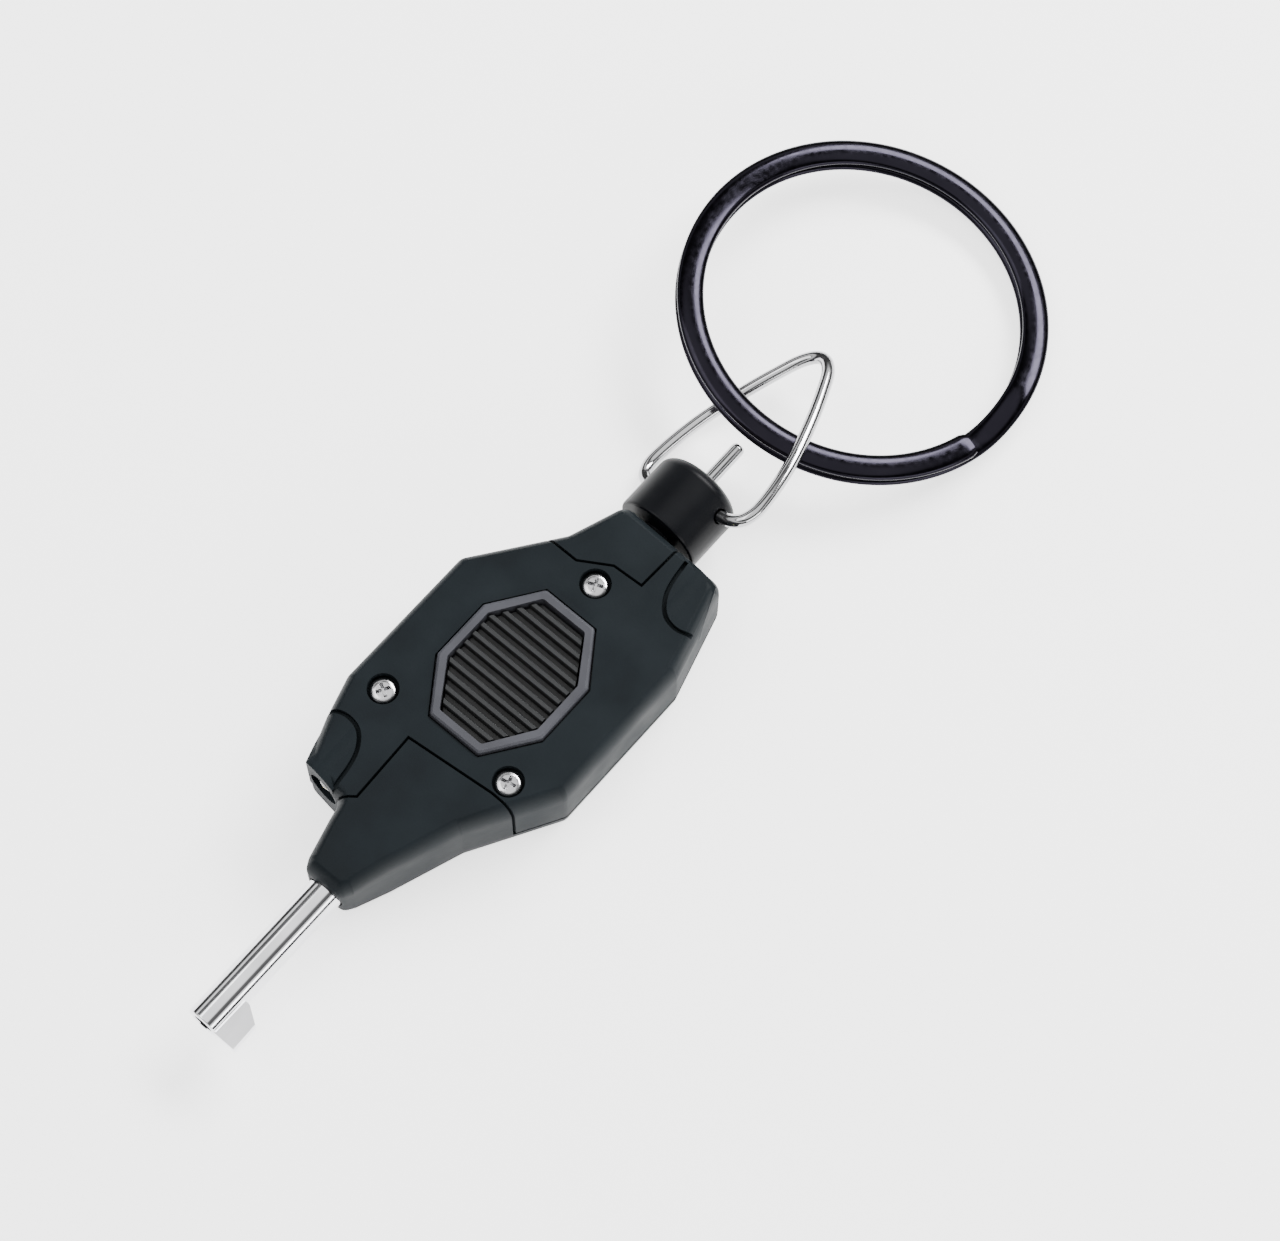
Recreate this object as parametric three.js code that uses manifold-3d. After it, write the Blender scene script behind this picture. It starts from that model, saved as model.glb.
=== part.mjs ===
// Handcuff key with a two-LED light, a swivel neck, a wire bail and a split ring.
// Millimetres. +X runs from the key barrel to the ring, +Z is up, and the origin is on the
// flat underside below the middle of the button.
import * as THREE from "three";
import { mergeVertices } from "three/addons/utils/BufferGeometryUtils.js";
import Module from "manifold-3d";

const wasm = await Module();
wasm.setup();

// ---------------------------------------------------------------- driving dimensions
const THICK = 10.7; // housing, underside to top face
const AXIS_Z = THICK / 2; // height of the key barrel and the swivel
const SHOULDER = 1.25; // how far the top and bottom faces are set in from the side wall
const GAP = 0.3; // seam between the two mouldings
const FLOOR = 1.2;
const SPLIT_Z = 2.7; // top of the lower tray
const ROOF = 9.3; // underside of the cover's top wall

const BARREL_R = 2.0;
const BARREL_BORE_R = 1.2;
const BARREL_TIP = -48.5;
const BARREL_END = -19.0;
const BIT_THICK = 1.4;

const BEZEL = [9.3, 7.35, 3.7, 3.4]; // half length, half width, flat half lengths along X and Y
const BEZEL_WIDTH = 1.05;
const BEZEL_TOP = 11.2;
const BUTTON_TRAVEL = 0.4;
const PLUNGER_Z = 7.85; // underside of the switch plunger with the button up
const RIBS = 12;
const RIB_PITCH = 1.3;
const RIB_WIDTH = 0.66;

const SCREWS = { rear: [13.3, 0], left: [-10.3, 9.1], right: [-9.4, -7.7] };
const SCREW_HEAD_R = 1.45;
const SCREW_SHANK_R = 0.9;

const CELL_R = 10.0; // 20 mm lithium coin cells
const CELL_THICK = 1.6;
const CAVITY_R = 10.7;
const BOARD_Z = 5.9;
const BOARD_THICK = 0.8;

const LED_R = 1.75;
const LED_Y = 7.35;
const LED_Z = 7.0;
const LED_BACK = -15.4;
const LED_TIP = -21.7;

const POST_R = 5.15;
const POST_START = 23.4;
const POST_END = 31.4;
const STEM_R = 2.2;
const PIN_R = 0.8;
const PIN_TIP = 37.5;
const HINGE_X = 28.8;
const WIRE_R = 0.75;
const SWIVEL_DEG = 31.5; // how far the neck is turned about X at rest

const RING_R = 19.65; // middle of the section
const RING_WIDTH = 3.0;
const RING_COIL = 1.2; // thickness of one turn
const RING_CENTRE = [59.46, 0.62, 4.45];
const RING_NORMAL = [0.119, -0.097, 0.988];

// Housing outline at its widest, counter-clockwise from the nose.
const OUTLINE = [
  [-29.75, -2.2], [-28.45, -2.95], [-16.4, -7.3], [-6.5, -13.1], [11.4, -13.1],
  [22.3, -10.1], [22.6, -4.7], [22.9, 3.8], [16.0, 6.3], [6.5, 13.3],
  [-11.4, 13.4], [-16.2, 12.0], [-21.6, 9.9], [-22.25, 4.6], [-28.7, 3.15], [-29.85, 2.55],
];
// The nose and the tail of the lower housing rise to the top face inside these lines.
const NOSE_BLOCK = [
  [-40, -20], [-11.75, -20], [-11.6, -7.2], [-12.7, 3.3], [-21.0, 3.0], [-22.3, 4.62], [-24, 9], [-40, 9],
];
const TAIL_BLOCK = [
  [40, 20], [14.1, 20], [14.15, 3.35], [16.3, -0.1], [16.5, -3.7], [23.2, -3.95], [40, -4.4],
];

// ---------------------------------------------------------------- materials
function material(color, roughness, metalness) {
  return new THREE.MeshStandardMaterial({ color, roughness, metalness });
}
const BLACK_PLASTIC = material(0x24282b, 0.6, 0);
const BEZEL_GREY = material(0x6d737a, 0.45, 0);
const BUTTON_BLACK = material(0x15171a, 0.7, 0);
const BRIGHT_STEEL = material(0xd8dadd, 0.2, 1);
const DARK_STEEL = material(0x2c2b33, 0.3, 1);
const SCREW_STEEL = material(0xc9cbce, 0.25, 1);
const BOARD_GREEN = material(0x1f5b3a, 0.5, 0);
const CELL_STEEL = material(0xb6b8ba, 0.3, 1);
const SPRING_BRASS = material(0xb8923f, 0.35, 1);
const CHIP_BLACK = material(0x101113, 0.5, 0);
const LED_CLEAR = material(0xdfe6ea, 0.1, 0);

// ---------------------------------------------------------------- solids
function solid(geometry) {
  const g = geometry.clone();
  g.deleteAttribute("normal");
  g.deleteAttribute("uv");
  const merged = mergeVertices(g, 1e-4);
  return new wasm.Manifold(
    new wasm.Mesh({
      numProp: 3,
      vertProperties: merged.attributes.position.array,
      triVerts: new Uint32Array(merged.index.array),
    }),
  );
}

function geometryOf(made) {
  const mesh = made.getMesh();
  const n = mesh.numProp;
  const position = new Float32Array(mesh.numVert * 3);
  for (let i = 0; i < mesh.numVert; i++) {
    position.set(mesh.vertProperties.subarray(i * n, i * n + 3), i * 3);
  }
  const g = new THREE.BufferGeometry();
  g.setAttribute("position", new THREE.BufferAttribute(position, 3));
  g.setIndex(new THREE.BufferAttribute(new Uint32Array(mesh.triVerts), 1));
  const flat = g.toNonIndexed();
  flat.computeVertexNormals();
  return flat;
}

// Moves every edge of a counter-clockwise polygon inwards by d.
function inset(points, d) {
  const n = points.length;
  return points.map((p, i) => {
    const a = points[(i + n - 1) % n];
    const b = points[(i + 1) % n];
    const e1 = new THREE.Vector2(p[0] - a[0], p[1] - a[1]).normalize();
    const e2 = new THREE.Vector2(b[0] - p[0], b[1] - p[1]).normalize();
    const n1 = new THREE.Vector2(-e1.y, e1.x);
    const n2 = new THREE.Vector2(-e2.y, e2.x);
    const k = d / (1 + n1.dot(n2));
    return [p[0] + (n1.x + n2.x) * k, p[1] + (n1.y + n2.y) * k];
  });
}

// Replaces every corner by an arc of at most the given radius.
function rounded(points, radius, steps) {
  const n = points.length;
  const out = [];
  points.forEach((p, i) => {
    const corner = new THREE.Vector2(...p);
    const a = new THREE.Vector2(...points[(i + n - 1) % n]).sub(corner);
    const b = new THREE.Vector2(...points[(i + 1) % n]).sub(corner);
    const half = Math.acos(a.dot(b) / a.length() / b.length()) / 2;
    const reach = Math.min(radius / Math.tan(half), 0.42 * a.length(), 0.42 * b.length());
    const p1 = corner.clone().add(a.setLength(reach));
    const p2 = corner.clone().add(b.setLength(reach));
    for (let s = 0; s <= steps; s++) {
      const t = s / steps;
      const q = p1.clone().multiplyScalar((1 - t) * (1 - t));
      q.addScaledVector(corner, 2 * t * (1 - t)).addScaledVector(p2, t * t);
      out.push([q.x, q.y]);
    }
  });
  return out;
}

// Joins rings of equal point counts into one closed solid. Each ring is a list of Vector3,
// counter-clockwise when looked at against the direction the rings advance in.
function skin(rings, closed = false) {
  const n = rings[0].length;
  const position = rings.flat().flatMap((p) => [p.x, p.y, p.z]);
  const index = [];
  const last = closed ? rings.length : rings.length - 1;
  for (let r = 0; r < last; r++) {
    for (let i = 0; i < n; i++) {
      const a = r * n + i;
      const b = r * n + ((i + 1) % n);
      const c = (((r + 1) % rings.length) * n) + ((i + 1) % n);
      const d = (((r + 1) % rings.length) * n) + i;
      index.push(a, b, c, a, c, d);
    }
  }
  const g = new THREE.BufferGeometry();
  g.setAttribute("position", new THREE.Float32BufferAttribute(position, 3));
  g.setIndex(index);
  return g;
}

// A closed loft through flat outlines at given heights.
function loft(levels) {
  const rings = levels.map(({ z, points }) => points.map(([x, y]) => new THREE.Vector3(x, y, z)));
  const g = skin(rings);
  const index = [...g.index.array];
  const n = rings[0].length;
  const first = levels[0].points.map((p) => new THREE.Vector2(...p));
  const end = levels[levels.length - 1].points.map((p) => new THREE.Vector2(...p));
  const top = (levels.length - 1) * n;
  THREE.ShapeUtils.triangulateShape(first, []).forEach(([a, b, c]) => index.push(a, c, b));
  THREE.ShapeUtils.triangulateShape(end, []).forEach(([a, b, c]) => {
    index.push(top + a, top + b, top + c);
  });
  g.setIndex(index);
  return solid(g);
}

function prism(points, z0, z1) {
  return loft([{ z: z0, points }, { z: z1, points }]);
}

function box(x0, x1, y0, y1, z0, z1) {
  const g = new THREE.BoxGeometry(x1 - x0, y1 - y0, z1 - z0);
  g.translate((x0 + x1) / 2, (y0 + y1) / 2, (z0 + z1) / 2);
  return solid(g);
}

// A turned piece: profile of [radius, height] pairs from the axis and back to it.
function turned(profile, segments) {
  const g = new THREE.LatheGeometry(profile.map((p) => new THREE.Vector2(...p)), segments);
  g.rotateX(Math.PI / 2);
  return solid(g);
}

function rod(r, z0, z1, x, y, segments = 24) {
  return turned([[0, z0], [r, z0], [r, z1], [0, z1]], segments).translate([x, y, 0]);
}

// Turns a piece made along Z so that it lies along +X, at the given height and offset.
function alongX(piece, y, z) {
  return piece.rotate([0, 90, 0]).translate([0, y, z]);
}

function rodX(r, x0, x1, y, z, segments = 32) {
  return alongX(rod(r, x0, x1, 0, 0, segments), y, z);
}

// A round wire through the given points, with flat ends.
function wire(points, radius, steps, sides = 10) {
  const path = new THREE.CatmullRomCurve3(points.map((p) => new THREE.Vector3(...p)), false, "centripetal");
  const circle = new THREE.Shape();
  for (let i = 0; i < sides; i++) {
    const a = (2 * Math.PI * i) / sides;
    const x = radius * Math.cos(a);
    const y = radius * Math.sin(a);
    if (i) circle.lineTo(x, y);
    else circle.moveTo(x, y);
  }
  circle.closePath();
  return solid(new THREE.ExtrudeGeometry(circle, { steps, bevelEnabled: false, extrudePath: path }));
}

function octagon(grow) {
  const [l, w, fx, fy] = BEZEL;
  const k = 0.45 * grow;
  return [
    [fx + k, -w - grow], [l + grow, -fy - k], [l + grow, fy + k], [fx + k, w + grow],
    [-fx - k, w + grow], [-l - grow, fy + k], [-l - grow, -fy - k], [-fx - k, -w - grow],
  ];
}

const group = new THREE.Group();
group.name = "handcuff_key_light";
function add(name, made, mat) {
  const mesh = new THREE.Mesh(geometryOf(made), mat);
  mesh.name = name;
  group.add(mesh);
}

// ---------------------------------------------------------------- housing
function level(z, d) {
  return { z, points: rounded(inset(OUTLINE, d), 1.4, 3) };
}
const sideProfile = [
  [-31, 1.7], [-24.5, 0], [21.5, 0], [24, 0.8], [24, THICK - 0.8], [21.5, THICK],
  [-24.5, THICK], [-31, THICK - 1.7],
];
const sideView = prism(sideProfile, -20, 20).rotate([90, 0, 0]);
const body = loft([
  level(0, SHOULDER), level(0.55, 0.62), level(1.5, 0.2), level(2.8, 0),
  level(THICK - 2.8, 0), level(THICK - 1.5, 0.2), level(THICK - 0.55, 0.62), level(THICK, SHOULDER),
]).intersect(sideView);

// A band of even width along a line of points, as a counter-clockwise polygon.
function band(points, width) {
  const sides = [[], []];
  points.forEach((p, i) => {
    const a = points[Math.max(i - 1, 0)];
    const b = points[Math.min(i + 1, points.length - 1)];
    const across = new THREE.Vector2(a[1] - b[1], b[0] - a[0]).setLength(width / 2);
    sides[0].push([p[0] - across.x, p[1] - across.y]);
    sides[1].unshift([p[0] + across.x, p[1] + across.y]);
  });
  return [...sides[0], ...sides[1]];
}

// Everything hollowed out of both mouldings.
function ledBay() {
  const bay = rodX(LED_R + 0.25, -24, LED_BACK + 0.6, LED_Y, LED_Z, 24);
  const leads = prism([[-15.2, 6.1], [-8.2, 3.6], [-7.0, 5.9], [-14.9, 8.6]], BOARD_Z, 8.6);
  return bay.add(leads);
}
// The hood over an LED fills out the shoulder and is edged by a groove.
const hoodEdge = [
  [-16.4, 12.6], [-15.2, 11.0], [-14.9, 9.6], [-15.3, 7.9], [-16.9, 6.6], [-18.8, 6.0], [-21.6, 5.7],
];
const hoodShape = [...hoodEdge, [-26, 5.7], [-26, 14]].reverse();
function hood() {
  const dome = rodX(3.75, -24, -14, 7.9, LED_Z, 32);
  return dome.intersect(prism(hoodShape, 4, 12)).intersect(prism(inset(OUTLINE, 0.05), 0, 12));
}
function hoodGroove() {
  return prism(band(hoodEdge, 0.5), THICK - 0.85, 12);
}
const frontBay = ledBay();
const rearBay = ledBay().rotate([0, 0, 180]);
const cavity = rod(CAVITY_R, FLOOR, ROOF, 0, 0, 64);
const hollow = cavity.add(frontBay).add(rearBay);

const stemBore = rodX(STEM_R + 0.12, 16.2, 26, 0, AXIS_Z, 36);
const clipBay = rodX(3.25, 16.2, 19.8, 0, AXIS_Z, 28);
const barrelBore = rodX(BARREL_R + 0.15, -40, BARREL_END + 0.3, 0, AXIS_Z, 32);

let lower = body.intersect(
  box(-60, 60, -30, 30, -1, SPLIT_Z).add(prism(NOSE_BLOCK, -1, 20)).add(prism(TAIL_BLOCK, -1, 20)),
);
lower = lower.subtract(hollow).subtract(stemBore).subtract(clipBay).subtract(barrelBore);
let cover = body.intersect(box(-60, 60, -30, 30, SPLIT_Z + GAP, 20));
for (const turn of [0, 180]) {
  cover = cover.add(hood().rotate([0, 0, turn])).subtract(hoodGroove().rotate([0, 0, turn]));
}
cover = cover.subtract(prism(inset(NOSE_BLOCK, -GAP), -1, 20));
cover = cover.subtract(prism(inset(TAIL_BLOCK, -GAP), -1, 20));
cover = cover.subtract(hollow).subtract(prism(octagon(0.2), ROOF - 1, 20));
for (const [x, y] of Object.values(SCREWS)) {
  lower = lower.add(rod(1.95, SPLIT_Z - 0.5, 6.4, x, y)).subtract(rod(SCREW_SHANK_R + 0.2, 1.2, 12, x, y));
  cover = cover.subtract(rod(2.2, 0, 6.7, x, y)).subtract(rod(SCREW_SHANK_R + 0.3, 0, 12, x, y));
  cover = cover.subtract(rod(SCREW_HEAD_R + 0.3, THICK - 1.3, 12, x, y));
}
add("lower_housing", lower, BLACK_PLASTIC);
add("upper_cover", cover, BLACK_PLASTIC);

// ---------------------------------------------------------------- bezel and button
const bezelOuter = loft([
  { z: ROOF - 0.5, points: octagon(0) },
  { z: BEZEL_TOP - 0.35, points: octagon(0) },
  { z: BEZEL_TOP, points: octagon(-0.3) },
]);
const bezelHole = prism(octagon(-BEZEL_WIDTH), 0, 20);
const bezelLip = prism(octagon(0.55), 8.3, 9.1);
add("button_bezel", bezelOuter.add(bezelLip).subtract(bezelHole), BEZEL_GREY);

const capShape = octagon(-BEZEL_WIDTH - 0.25);
const capTop = BEZEL_TOP - 0.8;
let cap = prism(capShape, 7.7, capTop).add(prism(octagon(-0.5), 7.3, 7.8));
const ribBlock = prism(capShape, capTop - 0.1, BEZEL_TOP - 0.25);
for (let i = 0; i < RIBS; i++) {
  const x = (i - (RIBS - 1) / 2) * RIB_PITCH;
  cap = cap.add(ribBlock.intersect(box(x - RIB_WIDTH / 2, x + RIB_WIDTH / 2, -9, 9, 9, 12)));
}
cap = cap.subtract(prism(octagon(-2.4), 7, 9.4)).add(rod(1.3, 8.6, 9.6, 0, 0));
add("button_cap", cap, BUTTON_BLACK);
add("switch_plunger", rod(1.1, PLUNGER_Z, 8.5, 0, 0), BUTTON_BLACK);

// ---------------------------------------------------------------- screws
function screw(x, y) {
  const top = THICK - 0.25;
  const made = turned(
    [
      [0, 1.6], [0.45, 1.6], [SCREW_SHANK_R, 2.3], [SCREW_SHANK_R, top - 0.9], [SCREW_HEAD_R, top - 0.9],
      [SCREW_HEAD_R, top - 0.35], [SCREW_HEAD_R * 0.8, top - 0.1], [0.5, top], [0, top],
    ],
    24,
  );
  const slot = box(-0.95, 0.95, -0.19, 0.19, top - 0.55, top + 1);
  return made.subtract(slot).subtract(slot.rotate([0, 0, 90])).rotate([0, 0, 20]).translate([x, y, 0]);
}
for (const [name, [x, y]] of Object.entries(SCREWS)) {
  add("cover_screw_" + name, screw(x, y), SCREW_STEEL);
}

// ---------------------------------------------------------------- key barrel with its bit
const tube = turned(
  [
    [BARREL_BORE_R, BARREL_TIP], [BARREL_R - 0.15, BARREL_TIP], [BARREL_R, BARREL_TIP + 0.15],
    [BARREL_R, BARREL_END], [0, BARREL_END], [0, BARREL_TIP + 12], [BARREL_BORE_R, BARREL_TIP + 11.3],
    [BARREL_BORE_R, BARREL_TIP],
  ],
  32,
);
const bit = prism(
  [
    [BARREL_TIP, -4.4], [BARREL_TIP + 3.4, -4.3], [BARREL_TIP + 4.6, -2.4], [BARREL_TIP + 4.6, -1.6],
    [BARREL_TIP, -1.6],
  ],
  AXIS_Z - BIT_THICK / 2,
  AXIS_Z + BIT_THICK / 2,
);
add("key_barrel", alongX(tube, 0, AXIS_Z).add(bit), BRIGHT_STEEL);

// ---------------------------------------------------------------- electronics
const cellZ = FLOOR + 0.45;
function coinCell(z) {
  return turned(
    [
      [0, z], [8.6, z], [8.8, z + 0.2], [CELL_R - 0.3, z + 0.25], [CELL_R, z + 0.5],
      [CELL_R, z + CELL_THICK - 0.1], [CELL_R - 0.1, z + CELL_THICK], [0, z + CELL_THICK],
    ],
    40,
  );
}
add("coin_cell_lower", coinCell(cellZ), CELL_STEEL);
add("coin_cell_upper", coinCell(cellZ + CELL_THICK + 0.1), CELL_STEEL);

const cellTop = cellZ + 2 * CELL_THICK + 0.1;
const contactPlate = box(-7.5, 7.5, -1.5, 1.5, 0, 0.25);
const negative = contactPlate
  .add(box(-1.5, 1.5, -10.4, 0, 0, 0.25))
  .add(box(-1.5, 1.5, -10.5, -10.2, 0, BOARD_Z - FLOOR - 0.2));
add("contact_negative", negative.translate([0, 0, FLOOR + 0.1]), SPRING_BRASS);
const positive = contactPlate
  .add(box(-1.2, 1.2, 0, 6.5, 0, 0.25))
  .add(box(-1.2, 1.2, 6.2, 6.5, 0, BOARD_Z - cellTop - 0.2));
add("contact_positive", positive.translate([0, 0, cellTop + 0.1]), SPRING_BRASS);

const board = rod(10.2, BOARD_Z, BOARD_Z + BOARD_THICK, 0, 0, 48).subtract(box(9.6, 12, -4, 4, 0, 20));
add("circuit_board", board, BOARD_GREEN);
const partZ = BOARD_Z + BOARD_THICK + 0.05;
const socket = rod(1.4, PLUNGER_Z - BUTTON_TRAVEL - 0.25, 9, 0, 0);
const switchBody = box(-2.3, 2.3, -2.3, 2.3, partZ, 8.0).subtract(socket);
add("switch_base", switchBody, CHIP_BLACK);
let chip = box(3.4, 5.9, -1.6, 1.6, partZ + 0.1, partZ + 1.0);
for (const y of [-1.2, 0, 1.2]) {
  chip = chip.add(box(3.0, 6.3, y - 0.2, y + 0.2, partZ, partZ + 0.3));
}
add("mode_chip", chip, CHIP_BLACK);
add("current_resistor", box(-5.6, -3.6, -0.65, 0.65, partZ, partZ + 0.55), CHIP_BLACK);

// ---------------------------------------------------------------- LEDs and their leads
function led() {
  const profile = [[0, LED_BACK], [LED_R, LED_BACK], [LED_R, LED_TIP + LED_R]];
  for (let i = 1; i <= 6; i++) {
    const a = (i / 6) * (Math.PI / 2);
    profile.push([LED_R * Math.cos(a), LED_TIP + LED_R - LED_R * Math.sin(a)]);
  }
  profile[profile.length - 1][0] = 0;
  return alongX(turned(profile.reverse(), 24), LED_Y, LED_Z);
}
function lead(dz, end) {
  const start = [LED_BACK + 0.15, LED_Y, LED_Z + dz];
  const middle = [LED_BACK + 1.3, LED_Y - 0.3, LED_Z + dz];
  const over = [end[0] - 0.7, end[1] + 0.25, partZ + 0.7];
  return wire([start, middle, over, [end[0], end[1], partZ + 0.05]], 0.25, 14, 8);
}
for (const [name, turn] of [["front", 0], ["rear", 180]]) {
  add(name + "_led", led().rotate([0, 0, turn]), LED_CLEAR);
  add(name + "_led_anode", lead(0.6, [-7.9, 5.5]).rotate([0, 0, turn]), BRIGHT_STEEL);
  add(name + "_led_cathode", lead(-0.6, [-8.6, 4.5]).rotate([0, 0, turn]), BRIGHT_STEEL);
}

// ---------------------------------------------------------------- swivel neck
const postProfile = [
  [0, 17.0], [STEM_R - 0.3, 17.0], [STEM_R, 17.3], [STEM_R, 18.3], [1.6, 18.3], [1.6, 19.2], [STEM_R, 19.2],
  [STEM_R, POST_START], [POST_R - 0.35, POST_START], [POST_R, POST_START + 0.35],
  [POST_R, POST_END - 1.6], [POST_R - 0.35, POST_END - 0.75], [POST_R - 1.2, POST_END - 0.2],
  [POST_R - 2.2, POST_END], [0, POST_END],
];
const tilt = [-SWIVEL_DEG, 0, 0];
const crossHole = rod(WIRE_R + 0.15, -8, 8, 0, 0, 20).rotate([90, 0, 0]).translate([HINGE_X, 0, 0]);
const pinBore = rodX(PIN_R + 0.1, 25, 40, 0, 0, 20);
const post = alongX(turned(postProfile, 36), 0, 0).subtract(crossHole).subtract(pinBore);
add("swivel_post", post.rotate(tilt).translate([0, 0, AXIS_Z]), BLACK_PLASTIC);
const clip = turned([[1.8, 18.4], [2.95, 18.4], [2.95, 19.1], [1.8, 19.1], [1.8, 18.4]], 28);
const clipCut = box(18, 20, -1.3, 1.3, 0, 4);
add("swivel_clip", alongX(clip, 0, 0).subtract(clipCut).rotate(tilt).translate([0, 0, AXIS_Z]), SPRING_BRASS);
const pin = turned(
  [[0, 25.3], [PIN_R, 25.3], [PIN_R, PIN_TIP - 0.35], [PIN_R - 0.35, PIN_TIP], [0, PIN_TIP]],
  20,
);
add("double_lock_pin", alongX(pin, 0, 0).translate([0, 0, AXIS_Z]), BRIGHT_STEEL);

// ---------------------------------------------------------------- bail
const bailHalf = [
  [0, 2.0], [0, 3.4], [0, 5.4], [0.1, 6.8], [0.7, 8.0], [2.0, 8.65], [3.8, 8.68], [9.0, 7.7],
  [14.8, 5.6], [19.1, 3.55], [21.4, 2.2], [22.5, 0.95],
];
const bailLoop = [
  ...bailHalf.map(([p, q]) => [HINGE_X + p, -q, 0]),
  [HINGE_X + 22.75, 0, 0],
  ...[...bailHalf].reverse().map(([p, q]) => [HINGE_X + p, q, 0]),
];
add("bail", wire(bailLoop, WIRE_R, 110, 12).rotate(tilt).translate([0, 0, AXIS_Z]), BRIGHT_STEEL);

// ---------------------------------------------------------------- split ring
// Two stacked turns of flat wire. One step carries the wire from the lower turn to the upper.
function splitRing() {
  const normal = new THREE.Vector3(...RING_NORMAL).normalize();
  const along = new THREE.Vector3(1, 0, 0).addScaledVector(normal, -normal.x).normalize();
  const across = new THREE.Vector3().crossVectors(normal, along);
  const centre = new THREE.Vector3(...RING_CENTRE);
  const step = THREE.MathUtils.degToRad(26);
  const startAngle = THREE.MathUtils.degToRad(-76);
  const total = 4 * Math.PI - step - 0.03;
  const count = 150;
  const w = RING_WIDTH / 2;
  const h = RING_COIL / 2;
  const c = 0.38;
  const section = [
    [-w + c, -h], [-w, -h + c], [-w, h - c], [-w + c, h], [w - c, h], [w, h - c], [w, -h + c], [w - c, -h],
  ];
  const lift = RING_COIL / 2 + 0.05;
  const rings = [];
  for (let i = 0; i <= count; i++) {
    const t = (i / count) * total;
    const rise = THREE.MathUtils.smoothstep(t, 2 * Math.PI - step, 2 * Math.PI);
    const z0 = -lift + 2 * lift * rise;
    const out = along.clone().multiplyScalar(Math.cos(t + startAngle));
    out.addScaledVector(across, Math.sin(t + startAngle));
    rings.push(
      section.map(([r, z]) => {
        const point = centre.clone().addScaledVector(out, RING_R + r);
        return point.addScaledVector(normal, z0 + z);
      }),
    );
  }
  const g = skin(rings);
  const index = [...g.index.array];
  const n = section.length;
  const end = count * n;
  for (let i = 1; i < n - 1; i++) {
    index.push(0, i + 1, i);
    index.push(end, end + i, end + i + 1);
  }
  g.setIndex(index);
  return solid(g);
}
add("split_ring", splitRing(), DARK_STEEL);

export default group;
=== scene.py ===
"""Handcuff key with a two-LED light: the visual model that rides on the CAD frame."""

import math

import bmesh
import bpy
from mathutils import Matrix, Vector


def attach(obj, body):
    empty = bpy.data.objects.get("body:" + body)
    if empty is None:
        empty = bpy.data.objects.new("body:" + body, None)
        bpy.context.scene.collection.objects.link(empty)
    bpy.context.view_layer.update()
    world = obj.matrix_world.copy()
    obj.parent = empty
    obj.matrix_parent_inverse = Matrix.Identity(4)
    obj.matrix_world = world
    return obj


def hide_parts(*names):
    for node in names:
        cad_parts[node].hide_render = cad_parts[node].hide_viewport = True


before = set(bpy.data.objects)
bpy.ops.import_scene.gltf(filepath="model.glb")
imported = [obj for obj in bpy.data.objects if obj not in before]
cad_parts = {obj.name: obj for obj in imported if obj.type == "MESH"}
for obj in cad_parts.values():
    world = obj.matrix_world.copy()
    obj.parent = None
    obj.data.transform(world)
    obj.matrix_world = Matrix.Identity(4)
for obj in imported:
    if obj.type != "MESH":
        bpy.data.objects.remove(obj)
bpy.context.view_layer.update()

# Driving sizes in millimetres. Each piece is modelled in millimetres and scaled at the end.
TO_METRES = 0.001
THICK = 10.7  # body, from the underside to the top face
AXIS_Z = THICK / 2  # height of the barrel and swivel axis
SHOULDER = 1.25  # how far the rounded shoulders draw in
RISE = 2.8  # height of a rounded shoulder
NOSE_THIN_X, TAIL_THIN_X = -24.5, 21.5  # where the body begins to thin towards its ends
SPLIT_Z = 2.7  # parting line between the two shells
GAP = 0.3  # seam between the two shells
ROOF = 9.3  # top of the hollow
FLOOR = 1.2  # bottom of the hollow
HOLLOW_R = 10.7
BEZEL = (9.3, 7.35, 3.7, 3.4)  # half length, half width, half of a long side's flat, half of an end's flat
BEZEL_WIDTH = 1.05
BEZEL_TOP = 11.2
RIB_COUNT = 12
RIB_PITCH = 1.3
RIB_FOOT = 10.05  # bottom of the grooves between the ribs
RIB_TOP = 10.92
SCREWS = {"rear": (13.3, 0.0), "left": (-10.3, 9.1), "right": (-9.4, -7.7)}
LED_R = 1.75
LED_Y = 7.35
LED_Z = 7.0
LED_TIP = -21.7
KEY_TIP = -48.5
POST_R = 5.15
POST_CROWN_X = 29.8  # where the end of the neck starts to round over
HINGE_X = 28.8
SWIVEL = -31.5  # degrees that the neck is turned at rest
WIRE_R = 0.75
RING_R = 19.65
RING_START = -76.0  # degrees round the ring to the free end of its lower turn
RING_CLIMB = 26.0  # degrees over which the wire climbs to its upper turn
RING_CENTRE = Vector((59.46, 0.62, 4.45))
RING_NORMAL = Vector((0.119, -0.097, 0.988)).normalized()
OUTLINE = [
    (-29.75, -2.2), (-28.45, -2.95), (-16.4, -7.3), (-6.5, -13.1), (11.4, -13.1), (22.3, -10.1),
    (22.6, -4.7), (22.9, 3.8), (16.0, 6.3), (6.5, 13.3), (-11.4, 13.4), (-16.2, 12.0),
    (-21.6, 9.9), (-22.25, 4.6), (-28.7, 3.15), (-29.85, 2.55),
]
NOSE_BLOCK = [
    (-40, -20), (-11.75, -20), (-11.6, -7.2), (-12.7, 3.3), (-21.0, 3.0), (-22.3, 4.62),
    (-24, 9), (-40, 9),
]
TAIL_BLOCK = [
    (40, 20), (14.1, 20), (14.15, 3.35), (16.3, -0.1), (16.5, -3.7), (23.2, -3.95), (40, -4.4),
]
HOOD_EDGE = [
    (-16.4, 12.6), (-15.2, 11.0), (-14.9, 9.6), (-15.3, 7.9), (-16.9, 6.6), (-18.8, 6.0),
    (-21.6, 5.7),
]


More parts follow.
